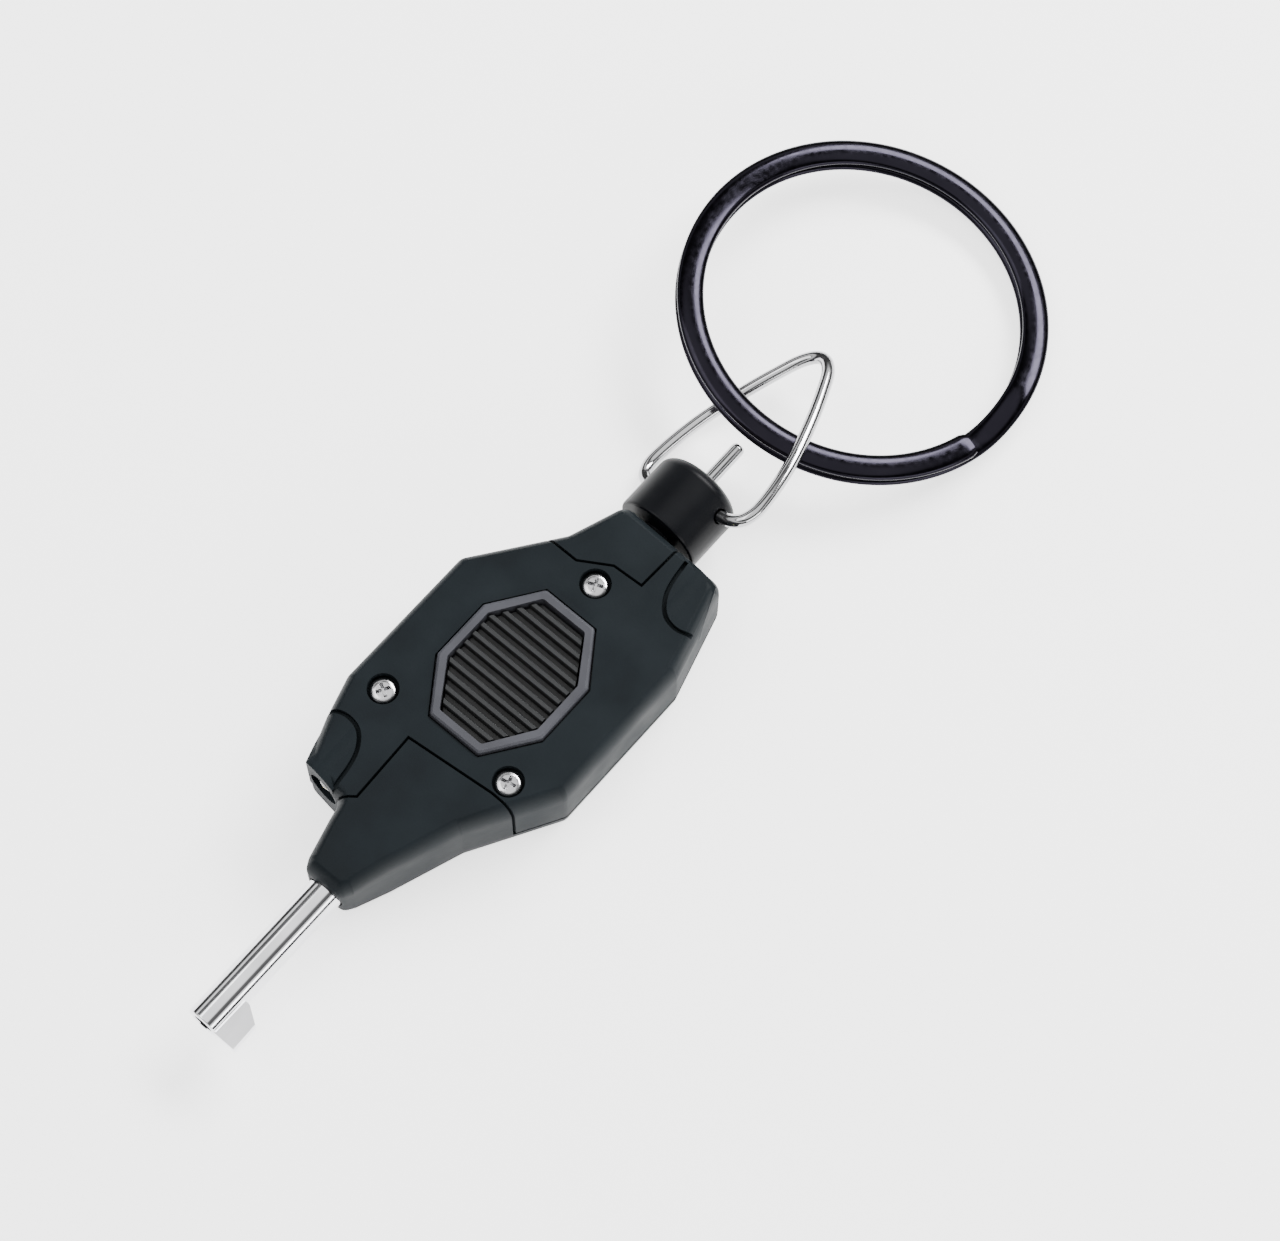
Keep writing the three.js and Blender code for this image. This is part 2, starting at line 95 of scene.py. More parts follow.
# ---------------------------------------------------------------- flat outlines
def inset(points, d):
    """Every edge of a counter-clockwise polygon moved inwards by d."""
    out = []
    for i, p in enumerate(points):
        a, p, b = Vector(points[i - 1]), Vector(p), Vector(points[(i + 1) % len(points)])
        e1, e2 = (p - a).normalized(), (b - p).normalized()
        n1, n2 = Vector((-e1.y, e1.x)), Vector((-e2.y, e2.x))
        out.append(tuple(p + (n1 + n2) * (d / (1 + n1.dot(n2)))))
    return out


def rounded(points, radius, steps):
    """Every corner replaced by an arc of at most that radius."""
    out = []
    for i, p in enumerate(points):
        p = Vector(p)
        a, b = Vector(points[i - 1]) - p, Vector(points[(i + 1) % len(points)]) - p
        half = a.angle(b) / 2
        reach = min(radius / math.tan(half), 0.42 * a.length, 0.42 * b.length)
        p1, p2 = p + a.normalized() * reach, p + b.normalized() * reach
        for s in range(steps + 1):
            t = s / steps
            out.append(tuple(p1 * (1 - t) ** 2 + p * (2 * t * (1 - t)) + p2 * t * t))
    return out


def eased(points):
    """A bent line with its corners cut twice. Its ends stay."""
    for _ in range(2):
        cut = [points[0]]
        for a, b in zip(points, points[1:]):
            a, b = Vector(a), Vector(b)
            cut += [tuple(a.lerp(b, 0.25)), tuple(a.lerp(b, 0.75))]
        points = cut + [points[-1]]
    return points


def octagon(grow):
    """The eight-sided button opening, moved outwards by grow."""
    length, width, fx, fy = BEZEL
    k = 0.45 * grow
    quarter = [(fx + k, width + grow), (length + grow, fy + k)]
    return (
        [(x, -y) for x, y in quarter]
        + [(x, y) for x, y in reversed(quarter)]
        + [(-x, y) for x, y in quarter]
        + [(-x, -y) for x, y in reversed(quarter)]
    )


def band(points, width):
    """A strip of that width along a line."""
    left, right = [], []
    for i, p in enumerate(points):
        a, b = Vector(points[max(i - 1, 0)]), Vector(points[min(i + 1, len(points) - 1)])
        across = Vector((a.y - b.y, b.x - a.x)).normalized() * (width / 2)
        left.append(tuple(Vector(p) - across))
        right.insert(0, tuple(Vector(p) + across))
    return left + right


# ---------------------------------------------------------------- solids
def new_object(name, vertices, faces):
    mesh = bpy.data.meshes.new(name)
    mesh.from_pydata([tuple(v) for v in vertices], [], faces)
    bm = bmesh.new()
    bm.from_mesh(mesh)
    bmesh.ops.recalc_face_normals(bm, faces=bm.faces)
    bm.to_mesh(mesh)
    bm.free()
    made = bpy.data.objects.new(name, mesh)
    bpy.context.scene.collection.objects.link(made)
    return made


def skin(name, rings, closed=False):
    """One solid through rings of equal point counts, capped at both ends unless it closes."""
    n = len(rings[0])
    faces = []
    for r in range(len(rings) if closed else len(rings) - 1):
        s = (r + 1) % len(rings)
        for i in range(n):
            j = (i + 1) % n
            faces.append((r * n + i, r * n + j, s * n + j, s * n + i))
    if not closed:
        faces.append(tuple(reversed(range(n))))
        faces.append(tuple(range((len(rings) - 1) * n, len(rings) * n)))
    return new_object(name, [p for ring in rings for p in ring], faces)


def prism(points, z0, z1):
    return skin("cutter", [[(x, y, z) for x, y in points] for z in (z0, z1)])


def box(x0, x1, y0, y1, z0, z1):
    return prism([(x0, y0), (x1, y0), (x1, y1), (x0, y1)], z0, z1)


def turned(name, profile, segments=64):
    """A turned piece about Z. A profile that starts off the axis closes on itself."""
    closed = profile[0][0] > 1e-6
    rings = []
    for r, z in profile:
        r = max(r, 1e-4)
        angles = [2 * math.pi * i / segments for i in range(segments)]
        rings.append([(r * math.cos(a), r * math.sin(a), z) for a in angles])
    made = skin(name, rings, closed)
    if not closed:  # the points on the axis become one
        bm = bmesh.new()
        bm.from_mesh(made.data)
        bmesh.ops.remove_doubles(bm, verts=bm.verts, dist=2.5e-4)
        bmesh.ops.recalc_face_normals(bm, faces=bm.faces)
        bm.to_mesh(made.data)
        bm.free()
    return made


def move(obj, matrix):
    obj.data.transform(matrix)
    return obj


def along_x(obj, y=0.0, z=0.0):
    return move(obj, Matrix.Translation((0, y, z)) @ Matrix.Rotation(math.pi / 2, 4, "Y"))


def rod(r, z0, z1, x=0.0, y=0.0, segments=48):
    made = turned("cutter", [(0, z0), (r, z0), (r, z1), (0, z1)], segments)
    return move(made, Matrix.Translation((x, y, 0)))


def rod_x(r, x0, x1, y, z, segments=48):
    return along_x(rod(r, x0, x1, 0, 0, segments), y, z)


def half_turn(obj):
    return move(obj, Matrix.Rotation(math.pi, 4, "Z"))


def bake(obj):
    """Makes the modifiers part of the mesh."""
    graph = bpy.context.evaluated_depsgraph_get()
    mesh = bpy.data.meshes.new_from_object(obj.evaluated_get(graph))
    old = obj.data
    obj.modifiers.clear()
    obj.data = mesh
    bpy.data.meshes.remove(old)
    return obj


def combine(obj, other, operation="DIFFERENCE"):
    step = obj.modifiers.new("step", "BOOLEAN")
    step.operation = operation
    step.solver = "EXACT"
    step.object = other
    bake(obj)
    bpy.data.objects.remove(other)
    return obj


def copy_of(obj, name):
    made = bpy.data.objects.new(name, obj.data.copy())
    bpy.context.scene.collection.objects.link(made)
    return made


def soften(obj, width, segments=2, angle=32):
    """Rounds the sharp edges and shades the rest smooth."""
    bm = bmesh.new()
    bm.from_mesh(obj.data)
    bmesh.ops.remove_doubles(bm, verts=bm.verts, dist=0.004)
    bmesh.ops.dissolve_limit(bm, angle_limit=0.01, verts=bm.verts, edges=bm.edges)
    bm.to_mesh(obj.data)
    bm.free()
    step = obj.modifiers.new("edge", "BEVEL")
    step.width = width
    step.segments = segments
    step.limit_method = "ANGLE"
    step.angle_limit = math.radians(angle)
    bake(obj)
    return shade(obj, keep_flats=True)


def shade(obj, angle=38, keep_flats=False):
    """Smooth shading, which can leave the large faces flat."""
    for face in obj.data.polygons:
        face.use_smooth = True
    obj.data.set_sharp_from_angle(angle=math.radians(angle))
    if not keep_flats:
        return obj
    step = obj.modifiers.new("normals", "WEIGHTED_NORMAL")
    step.keep_sharp = True
    step.weight = 80
    return bake(obj)


def finish_piece(obj, name, body, material, slot, *replaced):
    obj.name = name
    obj.data.name = name
    obj.data.transform(Matrix.Scale(TO_METRES, 4))
    obj.data.materials.clear()
    obj.data.materials.append(material)
    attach(obj, body)
    if replaced:
        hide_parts(*replaced)
    return obj


# ---------------------------------------------------------------- materials
def material(name, colour, rough, metal=0.0, gloss=0.36):
    made = bpy.data.materials.new(name)
    made.use_nodes = True
    nodes, links = made.node_tree.nodes, made.node_tree.links
    shader = nodes["Principled BSDF"]
    shader.inputs["Base Color"].default_value = (*colour, 1)
    shader.inputs["Roughness"].default_value = rough
    shader.inputs["Metallic"].default_value = metal
    if not metal:
        shader.inputs["Specular IOR Level"].default_value = gloss
    made.diffuse_color = (*colour, 1)
    return made, nodes, links, shader


def noise(nodes, links, scale, detail=4.0, stretch=(1, 1, 1)):
    place = nodes.new("ShaderNodeTexCoord")
    mapping = nodes.new("ShaderNodeMapping")
    mapping.inputs["Scale"].default_value = stretch
    links.new(place.outputs["Object"], mapping.inputs["Vector"])
    made = nodes.new("ShaderNodeTexNoise")
    made.inputs["Scale"].default_value = scale
    made.inputs["Detail"].default_value = detail
    links.new(mapping.outputs["Vector"], made.inputs["Vector"])
    return made.outputs["Fac"]


def spread(nodes, links, source, low, high, from_low=0.3, from_high=0.7):
    """Turns a 0 to 1 pattern into a value between low and high."""
    made = nodes.new("ShaderNodeMapRange")
    made.inputs["From Min"].default_value = from_low
    made.inputs["From Max"].default_value = from_high
    made.inputs["To Min"].default_value = low
    made.inputs["To Max"].default_value = high
    links.new(source, made.inputs["Value"])
    return made.outputs["Result"]


def tint(nodes, links, source, first, second):
    made = nodes.new("ShaderNodeMix")
    made.data_type = "RGBA"
    made.inputs["A"].default_value = (*first, 1)
    made.inputs["B"].default_value = (*second, 1)
    links.new(source, made.inputs["Factor"])
    return made.outputs["Result"]


def bump(nodes, links, shader, source, strength, distance):
    made = nodes.new("ShaderNodeBump")
    made.inputs["Strength"].default_value = strength
    made.inputs["Distance"].default_value = distance
    links.new(source, made.inputs["Height"])
    links.new(made.outputs["Normal"], shader.inputs["Normal"])


def moulded(name, colour, rough, grain=2600.0, depth=0.25, gloss=0.36):
    """Moulded plastic or rubber with a fine spark-eroded grain and faint blotches."""
    made, nodes, links, shader = material(name, colour, rough, gloss=gloss)
    blotch = noise(nodes, links, 160, 3)
    lighter = tuple(min(1.0, c * 1.22) for c in colour)
    darker = tuple(c * 0.84 for c in colour)
    links.new(tint(nodes, links, spread(nodes, links, blotch, 0, 1), darker, lighter),
              shader.inputs["Base Color"])
    links.new(spread(nodes, links, blotch, rough - 0.06, rough + 0.08), shader.inputs["Roughness"])
    bump(nodes, links, shader, noise(nodes, links, grain, 2), depth, 0.00004)
    return made


def plated(name, colour, rough, stretch=(1, 1, 1), depth=0.08, metal=1.0):
    """Metal with fine drawing marks along one direction and uneven polish."""
    made, nodes, links, shader = material(name, colour, rough, metal)
    cloud = noise(nodes, links, 240, 3)
    marks = noise(nodes, links, 1500, 3, stretch)
    lighter = tuple(min(1.0, c * 1.05) for c in colour)
    darker = tuple(c * 0.88 for c in colour)
    links.new(tint(nodes, links, spread(nodes, links, cloud, 0, 1), darker, lighter),
              shader.inputs["Base Color"])
    links.new(spread(nodes, links, marks, rough * 0.7, rough * 1.5), shader.inputs["Roughness"])
    bump(nodes, links, shader, marks, depth, 0.00002)
    return made


def ribs_with_painted_groove_shade(name, groove, crest):
    """Black rubber with painted shade: the grooves between the ribs are coloured far darker than the rib
    tops, for the shade that falls in them.
    """
    made, nodes, links, shader = material(name, crest, 0.42)
    place = nodes.new("ShaderNodeTexCoord")
    split = nodes.new("ShaderNodeSeparateXYZ")
    links.new(place.outputs["Object"], split.inputs["Vector"])
    # painted shade: the colour darkens from the rib tops down into the grooves
    height = spread(nodes, links, split.outputs["Z"], 0, 1, 0.0104, 0.01088)
    links.new(tint(nodes, links, height, groove, crest), shader.inputs["Base Color"])
    links.new(spread(nodes, links, noise(nodes, links, 400, 3), 0.36, 0.52), shader.inputs["Roughness"])
    bump(nodes, links, shader, noise(nodes, links, 3000, 2), 0.12, 0.00004)
    return made


BODY = moulded("black_moulding", (0.0078, 0.0105, 0.0125), 0.5, gloss=0.06)
NECK = moulded("neck_moulding", (0.0026, 0.003, 0.004), 0.36, 1800, 0.08, 0.09)
GREY = moulded("bezel_moulding", (0.046, 0.047, 0.055), 0.45, 2200, 0.12, 0.2)
RUBBER = ribs_with_painted_groove_shade("button_moulding", (0.0006, 0.0008, 0.001), (0.0075, 0.0085, 0.0095))
STEEL = plated("polished_plate", (0.78, 0.78, 0.8), 0.09, (0.12, 1, 1))
WIRE = plated("drawn_wire", (0.46, 0.46, 0.47), 0.12, (0.3, 1, 1))
NICKEL = plated("black_nickel", (0.014, 0.013, 0.018), 0.15, (1, 1, 0.3), 0.0)
ZINC = plated("bright_zinc", (0.5, 0.5, 0.51), 0.2)
CAN = plated("nickel_can", (0.55, 0.56, 0.57), 0.28)
BRASS = plated("spring_brass", (0.55, 0.36, 0.10), 0.3)
BOARD = moulded("solder_mask", (0.012, 0.10, 0.045), 0.35, 900, 0.1)
EPOXY = moulded("chip_epoxy", (0.012, 0.012, 0.014), 0.45, 2500, 0.2)


def clear_lens():
    made, nodes, links, shader = material("lens_epoxy", (0.93, 0.95, 0.97), 0.04)
    shader.inputs["Transmission Weight"].default_value = 0.92
    shader.inputs["IOR"].default_value = 1.52
    haze = noise(nodes, links, 500, 2)
    links.new(spread(nodes, links, haze, 0.02, 0.1), shader.inputs["Roughness"])
    return made


LENS = clear_lens()
PHOSPHOR = moulded("led_phosphor", (0.75, 0.62, 0.12), 0.5, 1500, 0.2)


# ---------------------------------------------------------------- housing shells
def body_block(name):
    """The whole body: side wall, rounded shoulders, and a nose and tail that thin out."""
    steps = 8
    rings = []
    for i in range(steps + 1):
        t = math.pi / 2 * (1 - i / steps)
        rings.append((RISE * (1 - math.sin(t)), SHOULDER * (1 - math.cos(t))))
    rings += [(THICK - z, d) for z, d in reversed(rings)]
    made = skin(name, [[(x, y, z) for x, y in rounded(inset(OUTLINE, d), 1.4, 6)] for z, d in rings])
    bm = bmesh.new()
    bm.from_mesh(made.data)
    for x in (NOSE_THIN_X, TAIL_THIN_X):
        bmesh.ops.bisect_plane(
            bm, geom=bm.verts[:] + bm.edges[:] + bm.faces[:], plane_co=(x, 0, 0), plane_no=(1, 0, 0)
        )
    for v in bm.verts:
        thin = 0.0
        if v.co.x < NOSE_THIN_X:
            thin = 1.7 * (NOSE_THIN_X - v.co.x) / 6.5
        elif v.co.x > TAIL_THIN_X:
            thin = 0.32 * (v.co.x - TAIL_THIN_X)
        v.co.z = AXIS_Z + (v.co.z - AXIS_Z) * (1 - thin / AXIS_Z)
    bm.to_mesh(made.data)
    bm.free()
    return made


def led_bay():
    """The round bay of an LED, with the channel of its leads."""
    bay = rod_x(LED_R + 0.25, -24, -14.8, LED_Y, LED_Z)
    leads = prism([(-15.2, 6.1), (-8.2, 3.6), (-7.0, 5.9), (-14.9, 8.6)], 5.9, 8.6)
    return combine(bay, leads, "UNION")


def hollow(obj):
    """Takes out the room for the cells and the board, and both LED bays."""
    combine(obj, rod(HOLLOW_R, FLOOR, ROOF, segments=96))
    combine(obj, led_bay())
    combine(obj, half_turn(led_bay()))


def hood():
    """The raised hood over an LED, with a rounded crown."""
    crown = rod_x(3.78, -24, -14, 7.9, LED_Z, 72)
    shape = list(reversed(eased(HOOD_EDGE) + [(-26, 5.7), (-26, 14)]))
    combine(crown, prism(shape, 4, 12), "INTERSECT")
    return combine(crown, prism(inset(OUTLINE, 0.06), 0, 12), "INTERSECT")


shell = body_block("housing")
cover = copy_of(shell, "cover")

keep = box(-60, 60, -30, 30, -1, SPLIT_Z)
combine(keep, prism(NOSE_BLOCK, -1.5, 20), "UNION")
combine(keep, prism(TAIL_BLOCK, -1.7, 20), "UNION")
combine(shell, keep, "INTERSECT")
hollow(shell)
combine(shell, rod_x(2.32, 16.2, 26, 0, AXIS_Z))
combine(shell, rod_x(3.25, 16.2, 19.8, 0, AXIS_Z))
combine(shell, rod_x(2.15, -40, -18.7, 0, AXIS_Z))

combine(cover, box(-60, 60, -30, 30, SPLIT_Z + GAP, 20), "INTERSECT")
for turned_round in (False, True):
    crown, groove = hood(), prism(band(eased(HOOD_EDGE), 0.5), THICK - 0.85, 12)
    if turned_round:
        half_turn(crown)
        half_turn(groove)
    combine(cover, crown, "UNION")
    combine(cover, groove)
combine(cover, prism(inset(NOSE_BLOCK, -GAP), -1, 20))
combine(cover, prism(inset(TAIL_BLOCK, -GAP), -1, 20))
hollow(cover)
combine(cover, prism(octagon(0.2), ROOF - 1, 20))
for x, y in SCREWS.values():
    combine(shell, rod(1.95, SPLIT_Z - 0.5, 6.4, x, y), "UNION")
    combine(shell, rod(1.1, 1.2, 12, x, y))
    combine(cover, rod(2.2, 0, 6.7, x, y))
    combine(cover, rod(1.2, 0, 12, x, y))
    combine(cover, rod(1.75, THICK - 1.3, 12, x, y))
soften(shell, 0.14)
soften(cover, 0.14)
finish_piece(shell, "housing_shell", "housing", BODY, "black_plastic", "lower_housing")
finish_piece(cover, "cover_shell", "housing", BODY, "black_plastic", "upper_cover")

# ---------------------------------------------------------------- bezel and button
bezel = skin("bezel", [
    [(x, y, z) for x, y in rounded(octagon(g), 0.5, 3)]
    for z, g in ((8.8, 0.0), (10.85, 0.0), (11.05, -0.08), (BEZEL_TOP, -0.3))
])
combine(bezel, prism(octagon(0.55), 8.3, 9.1), "UNION")
combine(bezel, prism(rounded(octagon(-BEZEL_WIDTH), 0.4, 3), 0, 20))
soften(bezel, 0.1)
finish_piece(bezel, "bezel_ring", "housing", GREY, "bezel_grey", "button_bezel")

cap_shape = rounded(octagon(-BEZEL_WIDTH - 0.25), 0.4, 3)
outline = [(-9.0, 9.0), (-9.0, RIB_FOOT)]
for i in range(RIB_COUNT):
    x = (i - (RIB_COUNT - 1) / 2) * RIB_PITCH
    outline += [(x - 0.36, RIB_FOOT), (x - 0.3, 10.8), (x - 0.2, RIB_TOP)]
    outline += [(x + 0.2, RIB_TOP), (x + 0.3, 10.8), (x + 0.36, RIB_FOOT)]
outline += [(9.0, RIB_FOOT), (9.0, 9.0)]
cap = skin("cap", [[(x, y, z) for x, z in outline] for y in (-9, 9)])
combine(cap, prism(cap_shape, 8.5, 12), "INTERSECT")
combine(cap, prism(cap_shape, 7.7, 9.6), "UNION")
combine(cap, prism(octagon(-0.5), 7.3, 7.8), "UNION")
combine(cap, prism(octagon(-2.4), 7, 9.3))
combine(cap, rod(1.3, 8.6, 9.5), "UNION")
soften(cap, 0.05, 2)
finish_piece(cap, "ribbed_button", "button", RUBBER, "button_black", "button_cap")


# ---------------------------------------------------------------- screws
def screw(x, y, turn):
    """A cross-head screw whose head sits just under the top face."""
    top = THICK - 0.25
    made = turned("screw", [
        (0, 1.6), (0.45, 1.6), (0.9, 2.3), (0.9, top - 0.9), (1.32, top - 0.9), (1.45, top - 0.8),
        (1.45, top - 0.42), (1.38, top - 0.28), (1.18, top - 0.13), (0.8, top - 0.03), (0, top),
    ], 48)
    for angle in (0, 90):
        slot = skin("slot", [
            [(-l, -w, z), (l, -w, z), (l, w, z), (-l, w, z)]
            for l, w, z in ((0.42, 0.12, top - 0.75), (1.0, 0.21, top + 0.2))
        ])
        combine(made, move(slot, Matrix.Rotation(math.radians(angle), 4, "Z")))
    soften(made, 0.03, 2, 40)
    return move(made, Matrix.Translation((x, y, 0)) @ Matrix.Rotation(math.radians(turn), 4, "Z"))


for (name, (x, y)), turn in zip(SCREWS.items(), (24, 61, 12)):
    node = "cover_screw_" + name
    finish_piece(screw(x, y, turn), "phillips_screw_" + name, "housing", ZINC, "screw_steel", node)

# ---------------------------------------------------------------- key barrel and bit
tip = KEY_TIP
barrel = turned("barrel", [
    (1.3, tip), (1.82, tip), (1.93, tip + 0.06), (2.0, tip + 0.18), (2.0, -19.3), (1.8, -19.0),
    (0.02, -19.0), (0.02, tip + 12), (1.2, tip + 11.3), (1.2, tip + 0.1),
], 96)
along_x(barrel, 0, AXIS_Z)
bit = prism([
    (tip, -4.4), (tip + 3.4, -4.3), (tip + 4.6, -2.4), (tip + 4.6, -1.6), (tip, -1.6),
], AXIS_Z - 0.7, AXIS_Z + 0.7)
combine(barrel, bit, "UNION")
soften(barrel, 0.07, 2, 40)
finish_piece(barrel, "barrel_and_bit", "housing", STEEL, "bright_steel", "key_barrel")

# ---------------------------------------------------------------- LEDs
for name, turned_round in (("front", False), ("rear", True)):
    profile = [(0, -15.4), (LED_R, -15.4), (LED_R, LED_TIP + LED_R)]
    for i in range(1, 14):
        a = math.pi / 2 * i / 14
        profile.append((LED_R * math.cos(a), LED_TIP + LED_R - LED_R * math.sin(a)))
    profile.append((0, LED_TIP))
    lens = along_x(turned("lens", profile, 48), LED_Y, LED_Z)
    cup = turned("cup", [
        (0, -15.9), (0.9, -15.9), (0.9, -18.2), (0.8, -18.2), (0.42, -17.6), (0, -17.6),
    ], 32)
    along_x(cup, LED_Y, LED_Z)
    die = turned("die", [(0, -17.55), (0.38, -17.55), (0.3, -17.85), (0, -17.9)], 16)
    along_x(die, LED_Y, LED_Z)
    if turned_round:
        for piece in (lens, cup, die):
            half_turn(piece)
    for piece in (lens, cup, die):
        shade(piece)
    finish_piece(lens, name + "_lens", "housing", LENS, "led_clear", name + "_led")
    finish_piece(cup, name + "_led_cup", "housing", ZINC, "bright_steel")
    finish_piece(die, name + "_led_die", "housing", PHOSPHOR, "led_clear")

# ---------------------------------------------------------------- swivel neck and lock pin
tilt = Matrix.Translation((0, 0, AXIS_Z)) @ Matrix.Rotation(math.radians(SWIVEL), 4, "X")
profile = [
    (0, 17.0), (1.9, 17.0), (2.2, 17.3), (2.2, 18.3), (1.6, 18.3), (1.6, 19.2), (2.2, 19.2),
    (2.2, 23.4), (POST_R - 0.35, 23.4), (POST_R - 0.1, 23.5), (POST_R, 23.75), (POST_R, POST_CROWN_X),
]
for i in range(1, 9):
    a = math.pi / 2 * i / 8
    profile.append((POST_R - 2.0 + 2.0 * math.cos(a), POST_CROWN_X + 1.6 * math.sin(a)))
profile.append((0, 31.4))
post = along_x(turned("post", profile, 96))
hinge_line = Matrix.Translation((HINGE_X, 0, 0)) @ Matrix.Rotation(math.pi / 2, 4, "X")
cross = move(rod(WIRE_R + 0.15, -8, 8), hinge_line)
combine(post, cross)
combine(post, rod_x(0.9, 25, 40, 0, 0))
soften(post, 0.1, 2, 40)
finish_piece(move(post, tilt), "neck_post", "swivel", NECK, "black_plastic", "swivel_post")
pin = turned("pin", [
    (0, 25.3), (0.8, 25.3), (0.8, 36.9), (0.77, 37.15), (0.62, 37.38), (0.35, 37.48), (0, 37.5),
], 48)
shade(along_x(pin, 0, AXIS_Z))
finish_piece(pin, "lock_pin", "swivel", WIRE, "bright_steel", "double_lock_pin")


# ---------------------------------------------------------------- bail
def smooth_path(points, steps):
    """Centripetal curve through the points."""
    pts = [Vector(p) for p in points]
    pts = [2 * pts[0] - pts[1]] + pts + [2 * pts[-1] - pts[-2]]
    out = []
    for i in range(1, len(pts) - 2):
        p0, p1, p2, p3 = pts[i - 1 : i + 3]
        t1 = math.sqrt((p1 - p0).length)
        t2 = t1 + math.sqrt((p2 - p1).length)
        t3 = t2 + math.sqrt((p3 - p2).length)
        for s in range(steps):
            t = t1 + (t2 - t1) * s / steps
            a1 = p0 * ((t1 - t) / t1) + p1 * (t / t1)
            a2 = p1 * ((t2 - t) / (t2 - t1)) + p2 * ((t - t1) / (t2 - t1))
            a3 = p2 * ((t3 - t) / (t3 - t2)) + p3 * ((t - t2) / (t3 - t2))
            b1 = a1 * ((t2 - t) / t2) + a2 * (t / t2)
            b2 = a2 * ((t3 - t) / (t3 - t1)) + a3 * ((t - t1) / (t3 - t1))
            out.append(b1 * ((t2 - t) / (t2 - t1)) + b2 * ((t - t1) / (t2 - t1)))
    out.append(pts[-2])
    return out


half = [
    (0, 2.0), (0, 3.4), (0, 5.4), (0.1, 6.8), (0.7, 8.0), (2.0, 8.65), (3.8, 8.68), (9.0, 7.7),
    (14.8, 5.6), (19.1, 3.55), (21.4, 2.2), (22.5, 0.95),
]
loop = [(HINGE_X + p, -q, 0) for p, q in half] + [(HINGE_X + 22.75, 0, 0)]
loop += [(HINGE_X + p, q, 0) for p, q in reversed(half)]
path = smooth_path(loop, 8)
rings = []
for i, p in enumerate(path):
    ahead = (path[min(i + 1, len(path) - 1)] - path[max(i - 1, 0)]).normalized()
    side, above = ahead.cross(Vector((0, 0, 1))), Vector((0, 0, 1))
    angles = [2 * math.pi * k / 24 for k in range(24)]
    rings.append([p + WIRE_R * (side * math.cos(a) + above * math.sin(a)) for a in angles])
bail = shade(move(skin("bail_loop", rings), tilt))
finish_piece(bail, "bail_wire_loop", "bail_wire", WIRE, "bright_steel", "bail")

# ---------------------------------------------------------------- split ring
along = (Vector((1, 0, 0)) - RING_NORMAL * RING_NORMAL.x).normalized()
across = RING_NORMAL.cross(along)
start_angle = math.radians(RING_START)
turn_gap = math.radians(RING_CLIMB)
total = 4 * math.pi - turn_gap - 0.03
half_w, half_h, lift = 1.5, 0.6, 0.65
rx, rz = 1.47, 0.57  # corner radii, which leave only a little flat on each side
section = []
corners = [(half_w, half_h, 0), (-half_w, half_h, 90), (-half_w, -half_h, 180), (half_w, -half_h, 270)]
for cx, cy, start in corners:
    for k in range(9):
        a = math.radians(start + 11.25 * k)
        section.append((
            cx - math.copysign(rx, cx) + rx * math.cos(a), cy - math.copysign(rz, cy) + rz * math.sin(a)
        ))
rings = []
count = 360
for i in range(count + 1):
    t = total * i / count
    u = min(max((t - (2 * math.pi - turn_gap)) / turn_gap, 0), 1)
    rise = u * u * (3 - 2 * u)
    out = along * math.cos(t + start_angle) + across * math.sin(t + start_angle)
    end = 0.86 if i in (0, count) else 1.0
    rings.append([
        RING_CENTRE + out * (RING_R + r * end) + RING_NORMAL * (lift * (2 * rise - 1) + z * end)
        for r, z in section
    ])
ring = shade(skin("ring_coil", rings), 50)
finish_piece(ring, "split_ring_coil", "key_ring", NICKEL, "dark_steel", "split_ring")

# ---------------------------------------------------------------- inner CAD nodes
INNER = {
    CAN: ("coin_cell_lower", "coin_cell_upper"),
    BRASS: ("contact_negative", "contact_positive", "swivel_clip"),
    BOARD: ("circuit_board",),
    EPOXY: ("switch_base", "mode_chip", "current_resistor"),
    WIRE: ("front_led_anode", "front_led_cathode", "rear_led_anode", "rear_led_cathode"),
    RUBBER: ("switch_plunger",),
}
for surface, names in INNER.items():
    for name in names:
        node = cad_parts[name]
        node.data.materials.clear()
        node.data.materials.append(surface)

# ---------------------------------------------------------------- floor, light and camera
reach = 1.5
corner_signs = ((-1, -1), (1, -1), (1, 1), (-1, 1))
floor = new_object("floor", [(x * reach, y * reach, 0) for x, y in corner_signs], [(0, 1, 2, 3)])
paper, _, _, paper_shader = material("paper", (0.93, 0.93, 0.93), 0.9)
paper_shader.inputs["Emission Color"].default_value = (1, 1, 1, 1)
paper_shader.inputs["Emission Strength"].default_value = 1.9
floor.data.materials.append(paper)
floor.location.z = -0.00003  # just clear of the underside


def softbox(name, place, target, size, power):
    """A rectangular light at place, aimed at target. All in metres and watts."""
    light = bpy.data.lights.new(name, "AREA")
    light.shape = "RECTANGLE"
    light.size, light.size_y = size
    light.energy = power
    made = bpy.data.objects.new(name, light)
    made.location = place
    made.rotation_euler = (Vector(target) - Vector(place)).to_track_quat("-Z", "Y").to_euler()
    bpy.context.scene.collection.objects.link(made)


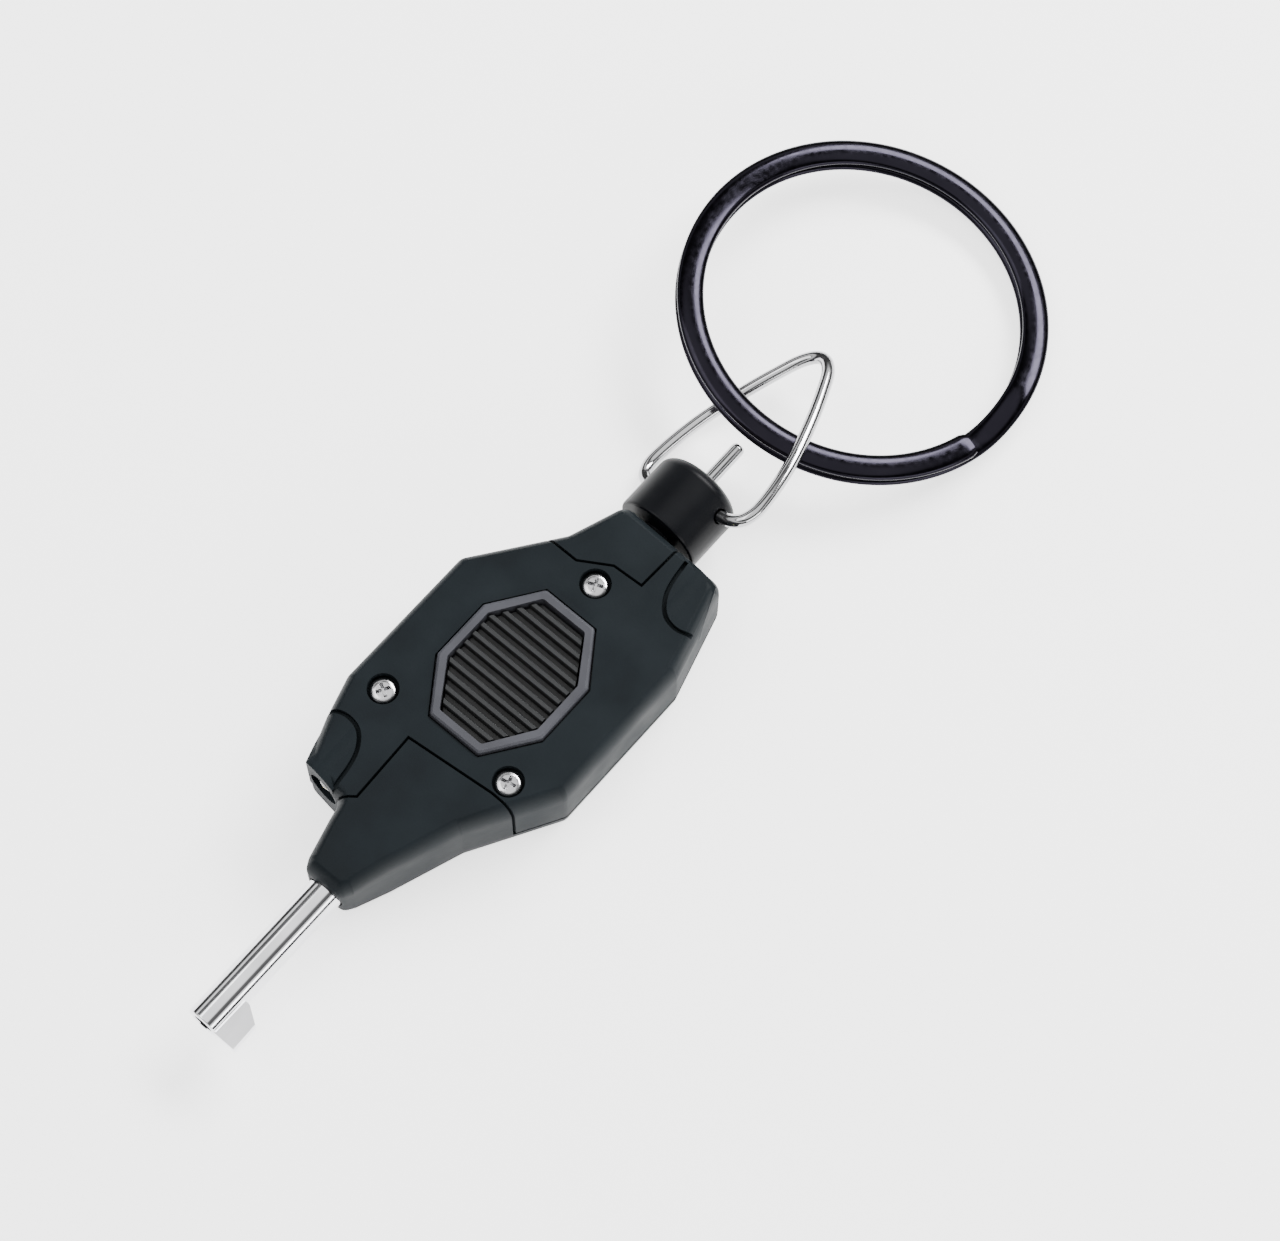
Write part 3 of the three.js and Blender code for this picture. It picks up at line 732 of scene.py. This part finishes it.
softbox("key_light", (-0.2, 0.3, 0.6), (0.01, 0, 0), (0.5, 0.4), 2.2)
softbox("far_light", (0.5, -0.04, 0.42), (0.04, 0, 0), (0.5, 0.16), 8.0)
softbox("low_light", (-0.1, -0.5, 0.22), (0.0, 0, 0), (0.5, 0.12), 1.4)


def studio_world():
    """A bright ceiling and one bright band round it, with dark between, for streaks on the metal."""
    made = bpy.data.worlds.new("studio")
    made.use_nodes = True
    nodes, links = made.node_tree.nodes, made.node_tree.links
    place = nodes.new("ShaderNodeTexCoord")
    split = nodes.new("ShaderNodeSeparateXYZ")
    links.new(place.outputs["Generated"], split.inputs["Vector"])
    ramp = nodes.new("ShaderNodeValToRGB")
    ramp.color_ramp.interpolation = "EASE"
    stops = (
        (0.0, 0.03), (0.36, 0.05), (0.46, 0.75), (0.56, 0.75), (0.64, 0.06), (0.82, 0.1), (0.91, 1.0),
        (1.0, 1.0),
    )
    while len(ramp.color_ramp.elements) < len(stops):
        ramp.color_ramp.elements.new(0.5)
    for element, (height, level) in zip(ramp.color_ramp.elements, stops):
        element.position = height
        element.color = (level, level, level, 1)
    links.new(split.outputs["Z"], ramp.inputs["Fac"])
    links.new(ramp.outputs["Color"], nodes["Background"].inputs["Color"])
    nodes["Background"].inputs["Strength"].default_value = 1.9
    return made


bpy.context.scene.world = studio_world()

DISTANCE = 400  # from the camera to the object, in millimetres
VIEW_WIDTH = 138.378  # what the frame takes in across, at that distance
elevation, azimuth, roll = math.radians(68.95), math.radians(50.45), math.radians(-1.25)
right = Vector((math.cos(azimuth), -math.sin(azimuth), 0))
up = Vector((
    math.sin(elevation) * math.sin(azimuth), math.sin(elevation) * math.cos(azimuth), math.cos(elevation)
))
back = right.cross(up)
place = (right * 13.3 + up * 9.6 + back * DISTANCE) * TO_METRES
side = right * math.cos(roll) - up * math.sin(roll)
above = right * math.sin(roll) + up * math.cos(roll)
lens_data = bpy.data.cameras.new("camera")
lens_data.sensor_width = 36
lens_data.lens = DISTANCE / VIEW_WIDTH * lens_data.sensor_width
lens_data.clip_start = 0.01
camera = bpy.data.objects.new("camera", lens_data)
camera.matrix_world = Matrix.Translation(place) @ Matrix((side, above, back)).transposed().to_4x4()
bpy.context.scene.collection.objects.link(camera)
bpy.context.scene.camera = camera
